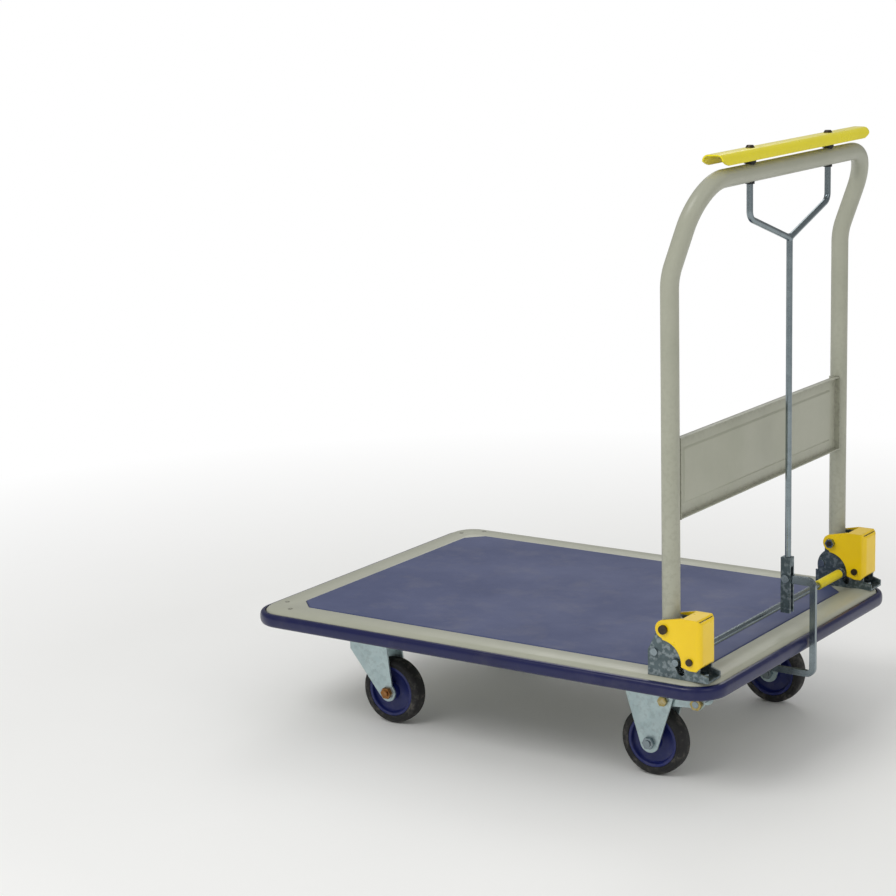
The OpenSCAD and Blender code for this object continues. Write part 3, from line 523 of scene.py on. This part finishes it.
barLow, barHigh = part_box("release_bar")
bar = {"wall": 2 * mm, "corner": 9 * mm, "endRise": 6 * mm, "endRun": 16 * mm}


def barSection(inset, rise):
    half = (barHigh[0] - barLow[0]) / 2 - inset
    top = barHigh[2] - inset
    r = bar["corner"] - inset
    points = [(-half, barLow[2] + rise)]
    for sx, first in ((-1, 180), (1, 90)):
        for k in range(9):
            a = math.radians(first - 90 * k / 8)
            points.append((sx * (half - r) + r * math.cos(a), top - r + r * math.sin(a)))
    points.append((half, barLow[2] + rise))
    return points


def releaseBarShape():
    middle = (barLow[0] + barHigh[0]) / 2
    halfY = barHigh[1]
    rows = []
    for y, rise in ((-halfY, 1.0), (-halfY + bar["endRun"] * 0.5, 0.35), (-halfY + bar["endRun"], 0.0),
                    (halfY - bar["endRun"], 0.0), (halfY - bar["endRun"] * 0.5, 0.35), (halfY, 1.0)):
        lift = rise * bar["endRise"]
        ring = barSection(0, lift) + barSection(bar["wall"], lift)[::-1]
        rows.append([Vector((middle + a, y, z)) for a, z in ring])
    count = len(rows[0])
    verts = [v for row in rows for v in row]
    faces = []
    for i in range(len(rows) - 1):
        for j in range(count):
            k = (j + 1) % count
            faces.append((i * count + j, i * count + k, (i + 1) * count + k, (i + 1) * count + j))
    for start in (0, (len(rows) - 1) * count):
        for j in range(count // 2 - 1):
            faces.append((start + j, start + j + 1, start + count - 2 - j, start + count - 1 - j))
    return verts, faces


newPiece("releaseBar", *releaseBarShape(), "yellowBarPaint", "release", "bar_yellow",
         ("release_bar",), 30)

rodLow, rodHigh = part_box("release_rod")
rod = {"radius": 4.5 * mm, "bend": 14 * mm, "legTurn": 62 * mm, "joint": 103 * mm, "weld": 6.2 * mm}
legY = rodHigh[1] - rod["radius"]
turnZ, jointZ = gripZ - rod["legTurn"], gripZ - rod["joint"]
leg = sweepRing(roundCorners([(gripX, -legY, rodHigh[2]), (gripX, -legY, turnZ), (gripX, 0, jointZ)],
                             [rod["bend"]], 10), roundSection(rod["radius"], 24))
stem = sweepRing([Vector((gripX, 0, z)) for z in (jointZ, jointZ - 0.2, rodLow[2])],
                 roundSection(rod["radius"], 24))
bead = []
for k in range(9):
    a = math.pi * k / 8
    ring = max(math.sin(a), 0.05) * rod["weld"]
    bead.append(([(gripX + ring * 0.85 * math.cos(b), ring * 1.1 * math.sin(b))
                  for b in [2 * math.pi * j / 20 for j in range(20)]],
                 jointZ + math.cos(a) * rod["weld"] * (1 + 0.12 * math.sin(5 * a))))
weldBead = stackLoops(bead, capFirst=True, capLast=True)
newPiece("releaseRod", *joinShapes([leg, mirrored(leg), stem, weldBead]),
         "brightZincRod", "release", "zinc_bright", ("release_rod",), 50)
print("handle made")


# wheels

wheel = {"tyreRound": 6 * mm, "rimDepth": 12 * mm, "crown": 0.5 * mm, "webRing": 26 * mm,
         "bore": 5.1 * mm, "rimStep": 1 * mm}


def tyreProfile(radius, half):
    rim = radius - wheel["rimDepth"]
    r = wheel["tyreRound"]
    points = [(rim, -half + 1 * mm), (rim + 1.2 * mm, -half), (rim + 4.2 * mm, -half),
              (rim + 4.8 * mm, -half + 0.5 * mm), (rim + 5.4 * mm, -half)]
    for k in range(7):
        a = math.radians(-90 + 90 * k / 6)
        points.append((radius - r - wheel["crown"] + r * math.cos(a), -half + r + r * math.sin(a)))
    points.append((radius, 0))
    other = [(p, -q) for p, q in points[-2::-1]]
    return points + other


def hubProfile(rim, half, boss, bore):
    side = [(bore, -boss), (10.5 * mm, -boss), (11.5 * mm, -boss + 0.8 * mm), (13.5 * mm, -5.2 * mm),
            (15 * mm, -4.4 * mm), (wheel["webRing"], -3.6 * mm), (wheel["webRing"] + 2 * mm, -4.4 * mm),
            (rim - 7 * mm, -4.6 * mm), (rim - 5.6 * mm, -6.2 * mm), (rim - 4.6 * mm, -half + 0.6 * mm),
            (rim - 3.6 * mm, -half), (rim - 0.6 * mm, -half), (rim - 0.05 * mm, -half + 0.6 * mm)]
    return side + [(p, -q) for p, q in side[::-1]]


for end, body in (("front", "wheel_front_"), ("rear", "wheel_rear_")):
    for sideName in ("left", "right"):
        low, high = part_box(f"{end}_tyre_{sideName}")
        hubLow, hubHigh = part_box(f"{end}_hub_{sideName}")
        centre = [(a + b) / 2 for a, b in zip(low, high)]
        radius, half = (high[0] - low[0]) / 2, (high[1] - low[1]) / 2
        label = end + sideName.capitalize()
        newPiece(f"{label}Tyre", *spinProfile(tyreProfile(radius, half), centre, 96),
                 "blackTyreRubber", body + sideName, "tyre_black", (f"{end}_tyre_{sideName}",), 40)
        hub = hubProfile(radius - wheel["rimDepth"], half - wheel["rimStep"],
                         (hubHigh[1] - hubLow[1]) / 2, wheel["bore"])
        newPiece(f"{label}Hub", *spinProfile(hub, centre, 96),
                 "blueNylonHub", body + sideName, "hub_blue", (f"{end}_hub_{sideName}",), 28)
print("wheels made")


# springs

springs = {"wire": 1 * mm, "hookReach": 6 * mm, "hookBend": 2 * mm, "turns": 15,
           "coneWire": 0.7 * mm, "coneTurns": 5, "conePerTurn": 18, "coneTaper": 0.42}
low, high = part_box("brake_springs")
springX = (low[0] + high[0]) / 2
radius = (high[0] - low[0]) / 2 - springs["wire"]
springY = high[1] - (high[0] - low[0]) / 2
coilBody = coilPath((springX, -springY, low[2] + springs["hookReach"]),
                    (springX, -springY, high[2] - springs["hookReach"]), radius, springs["turns"])
ends = [sweepRing(roundCorners([coilBody[i], Vector((springX, -springY, coilBody[i].z)),
                                Vector((springX, -springY, z))], [springs["hookBend"]], 5),
                  roundSection(springs["wire"], 8)) for i, z in ((0, low[2]), (-1, high[2]))]
spring = joinShapes([sweepRing(coilBody, roundSection(springs["wire"], 8))] + ends)
newPiece("brakeSprings", *joinShapes([spring, mirrored(spring)]), "springWire", "base",
         "spring_steel", ("brake_springs",), 60)

low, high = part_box("latch_springs")
coneY = high[1] - (high[0] - low[0]) / 2
coneX, baseRadius = (low[0] + high[0]) / 2, (high[0] - low[0]) / 2
cone = []
wire, coneSteps = springs["coneWire"], springs["coneTurns"] * springs["conePerTurn"]
for k in range(coneSteps + 1):
    t = k / coneSteps
    r = (baseRadius - wire - 0.1 * mm) * (1 - springs["coneTaper"] * t)
    a = 2 * math.pi * k / springs["conePerTurn"]
    cone.append(Vector((coneX + r * math.cos(a), -coneY + r * math.sin(a),
                        low[2] + wire + (high[2] - low[2] - 2 * wire) * t)))
coneShape = sweepRing(cone, roundSection(wire, 8))
newPiece("latchSprings", *joinShapes([coneShape, mirrored(coneShape)]), "springWire", "base",
         "spring_steel", ("latch_springs",), 60)
print("springs made")


# carried-over parts keep their shape and take a finish

partFinish = {
    "greyPrimedRail": ("deck_rails", "deck_crossmembers"),
    "darkZincPressing": ("bracket_left", "bracket_right", "rod_clevis"),
    "yellowMoulding": ("cover_left", "cover_right"),
    "darkScrewHead": ("cover_screws", "pivot_bolts", "bar_screws"),
    "brightZincRod": ("latch_rod", "brake_link", "brake_beam", "bracket_bolts", "stop_pins", "pivot_nuts",
                      "clevis_bolt", "clevis_nut", "rear_axles", "rear_axle_nuts"),
    "springWire": ("latch_clips",),
    "yellowFootSleeve": ("latch_sleeve",),
    "whiteNylon": ("pivot_washers",),
    "blackPolythene": ("post_plugs", "grip_bushes"),
    "paintedRivetHead": ("panel_rivets",),
    "yellowZincBolt": ("beam_nuts", "lever_pivots", "caster_bolts", "caster_nuts"),
    "paleZincFork": ("rear_forks", "swivel_plates", "swivel_fork_left", "swivel_fork_right",
                     "brake_levers"),
    "brakeLining": ("brake_shoes",),
    "bronzePassivate": ("front_axle_left", "front_axle_right"),
}
for finish, nodes in partFinish.items():
    for node in nodes:
        part = frame["nodes"][node]
        part.data.materials.clear()
        part.data.materials.append(mats[finish])
print("finishes given")


# studio

studio = {"floor": "#F4F4F2", "sky": 0.66, "mirrorSky": 0.3, "key": 55, "fill": 12, "rim": 18,
          "fadeFrom": 0.9, "fadeTo": 2.1}


def studioFloor():
    size, rows = 7.0, 24
    verts = [Vector((-size + 2 * size * i / rows, -size + 2 * size * j / rows, -0.0005))
             for i in range(rows + 1) for j in range(rows + 1)]
    wide = rows + 1
    faces = [(i * wide + j, (i + 1) * wide + j, (i + 1) * wide + j + 1, i * wide + j + 1)
             for i in range(rows) for j in range(rows)]
    mesh = bpy.data.meshes.new("studioFloor")
    mesh.from_pydata([tuple(v) for v in verts], [], faces)
    mat = bpy.data.materials.new("paleStudioPaper")
    mat.use_nodes = True
    tree = mat.node_tree
    shader = tree.nodes["Principled BSDF"]
    coords = addNode(tree, "ShaderNodeTexCoord")
    fibre = addNode(tree, "ShaderNodeTexNoise", None, {"Scale": 3.0, "Detail": 4.0},
                    {"Vector": (coords, "Object")})
    tint = addNode(tree, "ShaderNodeMix", {"data_type": "RGBA"},
                   {"A": hexColour(studio["floor"]), "B": hexColour("#F1F1EF")}, {"Factor": (fibre, "Fac")})
    tree.links.new(tint.outputs["Result"], shader.inputs["Base Color"])
    shader.inputs["Roughness"].default_value = 0.85
    reach = addNode(tree, "ShaderNodeVectorMath", {"operation": "LENGTH"}, None,
                    {"Vector": (coords, "Object")})
    away = rangeNode(tree, (reach, "Value"), studio["fadeFrom"], studio["fadeTo"], 0.0, 1.0)
    rays = addNode(tree, "ShaderNodeLightPath")
    seen = mathNode(tree, "MULTIPLY", (away, "Result"), (rays, "Is Camera Ray"), True)
    white = addNode(tree, "ShaderNodeEmission", None, {"Color": (1.0, 1.0, 1.0, 1.0), "Strength": 1.0})
    blend = addNode(tree, "ShaderNodeMixShader", None, None, {"Fac": (seen, "Value")})
    tree.links.new(shader.outputs["BSDF"], blend.inputs[1])
    tree.links.new(white.outputs["Emission"], blend.inputs[2])
    tree.links.new(blend.outputs["Shader"], tree.nodes["Material Output"].inputs["Surface"])
    mesh.materials.append(mat)
    floor = bpy.data.objects.new("studioFloor", mesh)
    bpy.context.scene.collection.objects.link(floor)


studioFloor()


def addLight(name, place, target, size, power):
    light = bpy.data.lights.new(name, "AREA")
    light.shape = "DISK"
    light.size = size
    light.energy = power
    holder = bpy.data.objects.new(name, light)
    holder.location = place
    holder.rotation_euler = (Vector(target) - Vector(place)).to_track_quat("-Z", "Y").to_euler()
    bpy.context.scene.collection.objects.link(holder)


addLight("keyLight", (-0.6, -3.0, 3.4), (0, 0, 0.3), 2.2, studio["key"])
addLight("fillLight", (3.4, -1.2, 2.2), (0, 0, 0.3), 2.4, studio["fill"])
addLight("rimLight", (-1.5, 3.0, 2.8), (0, 0, 0.3), 2.0, studio["rim"])
world = bpy.data.worlds.new("softStudio")
world.use_nodes = True
sky = world.node_tree.nodes["Background"]
sky.inputs["Color"].default_value = (1.0, 1.0, 1.0, 1.0)
rays = addNode(world.node_tree, "ShaderNodeLightPath")
direct = rangeNode(world.node_tree, (rays, "Is Camera Ray"), 0.0, 1.0, studio["sky"], 1.0)
mirror = rangeNode(world.node_tree, (rays, "Is Glossy Ray"), 0.0, 1.0, 0.0,
                   studio["sky"] - studio["mirrorSky"])
strength = mathNode(world.node_tree, "SUBTRACT", (direct, "Result"), (mirror, "Result"))
world.node_tree.links.new(strength.outputs["Value"], sky.inputs["Strength"])
bpy.context.scene.world = world
bpy.context.scene.view_settings.view_transform = "Standard"

view = {"azimuth": 34.4, "elevation": 12.3, "roll": 1.5, "distance": 3.7421,
        "target": (-0.2237, 0.0, 0.3921), "lens": 95.52}


def addCamera():
    a, e, r = (math.radians(view[k]) for k in ("azimuth", "elevation", "roll"))
    back = Vector((math.sin(a) * math.cos(e), -math.cos(a) * math.cos(e), math.sin(e)))
    right = Vector((math.cos(a), math.sin(a), 0))
    up = back.cross(right)
    camX = right * math.cos(r) - up * math.sin(r)
    camY = right * math.sin(r) + up * math.cos(r)
    place = Vector(view["target"]) + back * view["distance"]
    data = bpy.data.cameras.new("photoView")
    data.lens = view["lens"]
    data.sensor_width = 36
    data.dof.use_dof = False
    camera = bpy.data.objects.new("photoView", data)
    camera.matrix_world = Matrix(((camX.x, camY.x, back.x, place.x), (camX.y, camY.y, back.y, place.y),
                                  (camX.z, camY.z, back.z, place.z), (0, 0, 0, 1)))
    bpy.context.scene.collection.objects.link(camera)
    bpy.context.scene.camera = camera


addCamera()
print("studio made")

bpy.context.view_layer.update()
